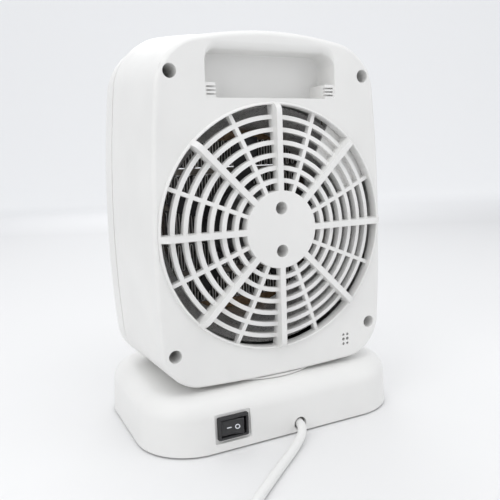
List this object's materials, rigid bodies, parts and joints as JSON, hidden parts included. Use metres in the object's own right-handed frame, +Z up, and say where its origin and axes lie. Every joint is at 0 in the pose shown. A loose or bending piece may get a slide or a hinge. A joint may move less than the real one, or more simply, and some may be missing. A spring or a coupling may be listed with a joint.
{
  "type": "ceramic space heater",
  "caption": "Small oscillating ceramic fan heater: a rounded upright head with a round rear grille and handle pocket, turning on a flat base with a rear rocker switch.",
  "frame": {"origin": "on the floor, under the centre of the base and on the axis that the head swings about", "axes": "+Z up, -Y is the warm-air outlet at the front, +Y the rear with the intake grille, switch and lead, +X to the right as seen from the front"},
  "size_m": [0.2026, 0.3072, 0.2682],
  "materials": {
    "white_plastic": "fine satin moulded ABS",
    "black_plastic": "satin moulded plastic",
    "rubber": "soft matt rubber",
    "cord_white": "satin PVC",
    "plug_brass": "bright pressed brass",
    "screw_steel": "zinc-plated steel",
    "motor_steel": "plated sheet steel",
    "aluminium": "bright rolled sheet",
    "heater_fins": "folded strip, darkened by heat",
    "ceramic": "unglazed PTC ceramic between electrodes",
    "phenolic": "dark moulded heat-resistant resin",
    "mica": "golden brown mica sheet",
    "nylon": "natural nylon",
    "circuit_board": "green solder mask",
    "lens": "clear tinted plastic"
  },
  "bodies": {
    "base": {"base_plate": "white_plastic", "base_screw_1": "screw_steel", "base_screw_2": "screw_steel", "base_screw_3": "screw_steel", "base_screw_4": "screw_steel", "base_shell": "white_plastic", "cord_clamp": "nylon", "cord_coil": "cord_white", "cord_tail": "cord_white", "foot_1": "rubber", "foot_2": "rubber", "foot_3": "rubber", "foot_4": "rubber", "plug": "cord_white", "plug_blade_1": "plug_brass", "plug_blade_2": "plug_brass", "power_cord": "cord_white", "swing_bush": "nylon", "swing_motor": "motor_steel", "switch_housing": "black_plastic"},
    "rocker": {"rocker": "black_plastic"},
    "pinion": {"drive_pinion": "nylon"},
    "fan": {"impeller": "black_plastic", "fan_shaft": "screw_steel"},
    "power_button": {"power_button": "white_plastic"},
    "swing_button": {"swing_button": "white_plastic"},
    "head": {"air_duct": "aluminium", "buzzer": "black_plastic", "ceramic_strip_1": "ceramic", "ceramic_strip_2": "ceramic", "ceramic_strip_3": "ceramic", "ceramic_strip_4": "ceramic", "control_board": "circuit_board", "cover_screw_1": "screw_steel", "cover_screw_2": "screw_steel", "cover_screw_3": "screw_steel", "cover_screw_4": "screw_steel", "fan_motor": "motor_steel", "front_cover": "white_plastic", "front_grille": "white_plastic", "heater_fins_1": "heater_fins", "heater_fins_2": "heater_fins", "heater_fins_3": "heater_fins", "heater_fins_4": "heater_fins", "heater_fins_5": "heater_fins", "heater_frame": "phenolic", "hub_screw_1": "screw_steel", "hub_screw_2": "screw_steel", "led_lens": "lens", "mica_bottom": "mica", "mica_top": "mica", "rear_cover": "white_plastic", "spindle_clip": "screw_steel", "swing_gear": "nylon", "thermal_cutout": "black_plastic", "tip_over_switch": "black_plastic", "turntable": "white_plastic"}
  },
  "joints": [
    {"name": "head_swing", "type": "hinge", "parent": "base", "child": "head", "pos_m": [0, 0, 0.036], "axis": [0, 0, 1], "range_deg": [-35, 35]},
    {"name": "pinion_spin", "type": "hinge", "parent": "base", "child": "pinion", "pos_m": [-0.0453, 0, 0.028], "axis": [0, 0, 1], "range_deg": [-145, 145]},
    {"name": "fan_spin", "type": "hinge", "parent": "head", "child": "fan", "pos_m": [0, 0, 0.1355], "axis": [0, 1, 0], "continuous": true},
    {"name": "rocker_tilt", "type": "hinge", "parent": "base", "child": "rocker", "pos_m": [0.0425, 0.06, 0.016], "axis": [0, 0, 1], "range_deg": [0, 16]},
    {"name": "power_press", "type": "slide", "parent": "head", "child": "power_button", "axis": [0, 1, 0], "range_m": [0, 0.0015], "stiffness_N_per_m": 300},
    {"name": "swing_press", "type": "slide", "parent": "head", "child": "swing_button", "axis": [0, 1, 0], "range_m": [0, 0.0015], "stiffness_N_per_m": 300}
  ],
  "couplings": [
    {"joint": "pinion_spin", "follows": "head_swing", "ratio": -4}
  ]
}
